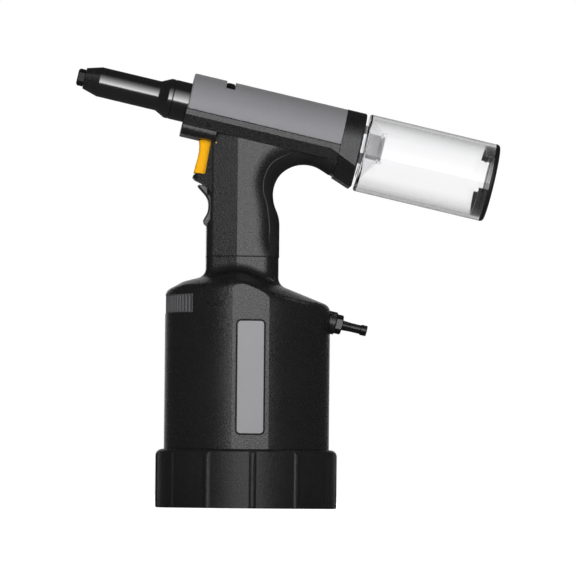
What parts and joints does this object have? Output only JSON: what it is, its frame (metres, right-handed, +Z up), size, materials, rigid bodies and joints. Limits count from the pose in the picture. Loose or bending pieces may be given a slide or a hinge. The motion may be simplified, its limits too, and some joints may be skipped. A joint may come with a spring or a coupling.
{
  "type": "pneumatic riveter",
  "caption": "Pistol-grip air and oil riveter for blind rivets: tilted head with pulling jaws, yellow trigger, clear mandrel container, upright air cylinder on a rubber base.",
  "frame": {"origin": "middle of the underside of the base boot, on the air cylinder axis", "axes": "+Z up along the air cylinder, -X toward the nosepiece, Y across, the tool being symmetric about Y = 0 but for the valve plug"},
  "size_m": [0.2767, 0.118, 0.2856],
  "materials": {
    "boot_rubber": "moulded rubber, fine matt grain",
    "black_plastic": "moulded plastic, fine grain",
    "grip_rubber": "soft grip, fine grain",
    "cover_grey": "moulded grey plastic, satin",
    "label_grey": "plain grey plate, satin",
    "trigger_yellow": "moulded yellow plastic",
    "lever_grey": "grey plastic",
    "clear_plastic": "clear moulded plastic, slightly frosted",
    "black_steel": "blackened steel, satin",
    "steel": "machined steel",
    "hard_chrome": "ground and chromed",
    "alloy": "machined alloy",
    "spring_steel": "drawn wire",
    "brass": "machined brass",
    "seal_rubber": "smooth rubber",
    "felt": "pressed felt"
  },
  "bodies": {
    "tool_body": {"back_grip": "grip_rubber", "barrel_end_plug": "alloy", "base_boot": "boot_rubber", "base_cap": "alloy", "base_cap_seal": "seal_rubber", "collar_nut": "steel", "container_seal": "seal_rubber", "cylinder_housing": "black_plastic", "cylinder_liner": "alloy", "exhaust_felt": "felt", "exhaust_grille": "black_plastic", "filler_plug": "steel", "filler_seal": "seal_rubber", "handle_housing": "black_plastic", "head_cover": "cover_grey", "hose_nipple": "black_steel", "hydraulic_barrel": "alloy", "inlet_boss": "black_plastic", "label_plates": "label_grey", "lever_pin": "steel", "lever_valve_body": "brass", "locating_pins": "black_steel", "nose_sleeve": "black_steel", "nosepiece": "black_steel", "pressure_tube": "steel", "ram_gland": "alloy", "ram_seal": "seal_rubber", "rear_collar": "black_plastic", "retaining_ring": "spring_steel", "rod_bush": "brass", "rod_seal": "seal_rubber", "shoulder_plug": "black_plastic", "trigger_pin": "black_steel", "trigger_valve_body": "brass"},
    "air_piston_group": {"air_piston": "alloy", "air_piston_seal": "seal_rubber", "ram_rod": "hard_chrome", "piston_nut": "steel"},
    "draw_group": {"draw_piston": "hard_chrome", "draw_piston_seal": "seal_rubber", "mandrel_tube": "steel", "jaw_housing": "black_steel", "jaws": "steel", "jaw_pusher": "steel", "jaw_spring": "spring_steel", "jaw_lock_nut": "steel", "return_spring": "spring_steel"},
    "trigger": {"trigger": "trigger_yellow"},
    "suction_lever": {"suction_lever": "lever_grey"},
    "trigger_valve_stem": {"trigger_valve_stem": "steel", "trigger_valve_spring": "spring_steel"},
    "lever_valve_stem": {"lever_valve_stem": "steel", "lever_valve_spring": "spring_steel"},
    "main_valve_spool": {"main_valve_spool": "alloy"},
    "mandrel_container": {"mandrel_container": "clear_plastic"},
    "container_cap": {"container_cap": "black_plastic", "container_cap_seal": "seal_rubber"}
  },
  "joints": [
    {"name": "air_piston_stroke", "type": "slide", "parent": "tool_body", "child": "air_piston_group", "axis": [0, 0, 1], "range_m": [0, 0.084]},
    {"name": "draw_stroke", "type": "slide", "parent": "tool_body", "child": "draw_group", "axis": [0.9755, 0, -0.2198], "range_m": [0, 0.02434], "deforming": ["return_spring"]},
    {"name": "trigger_pull", "type": "hinge", "parent": "tool_body", "child": "trigger", "pos_m": [-0.022, 0, 0.2365], "axis": [0, -1, 0], "range_deg": [0, 10], "stiffness_Nm_per_rad": 0.6, "springref_deg": -5.73},
    {"name": "trigger_valve_slide", "type": "slide", "parent": "tool_body", "child": "trigger_valve_stem", "axis": [1, 0, 0], "range_m": [0, 0.002], "deforming": ["trigger_valve_spring"]},
    {"name": "suction_lever_pull", "type": "hinge", "parent": "tool_body", "child": "suction_lever", "pos_m": [-0.0226, 0, 0.187], "axis": [0, 1, 0], "range_deg": [0, 6], "stiffness_Nm_per_rad": 0.6, "springref_deg": -5.73},
    {"name": "lever_valve_slide", "type": "slide", "parent": "tool_body", "child": "lever_valve_stem", "axis": [1, 0, 0], "range_m": [0, 0.0012], "deforming": ["lever_valve_spring"]},
    {"name": "main_valve_slide", "type": "slide", "parent": "tool_body", "child": "main_valve_spool", "axis": [-0.4415, -0.8973, 0], "range_m": [0, 0.005]},
    {"name": "container_pull_off", "type": "slide", "parent": "tool_body", "child": "mandrel_container", "axis": [0.9755, 0, -0.2198], "range_m": [0, 0.03]},
    {"name": "container_cap_pull_off", "type": "slide", "parent": "mandrel_container", "child": "container_cap", "axis": [0.9755, 0, -0.2198], "range_m": [0, 0.02]}
  ],
  "couplings": [
    {"joint": "draw_stroke", "follows": "air_piston_stroke", "ratio": 0.28741},
    {"joint": "trigger_valve_slide", "follows": "trigger_pull", "m_per_rad": 0.0105},
    {"joint": "lever_valve_slide", "follows": "suction_lever_pull", "m_per_rad": 0.01}
  ]
}
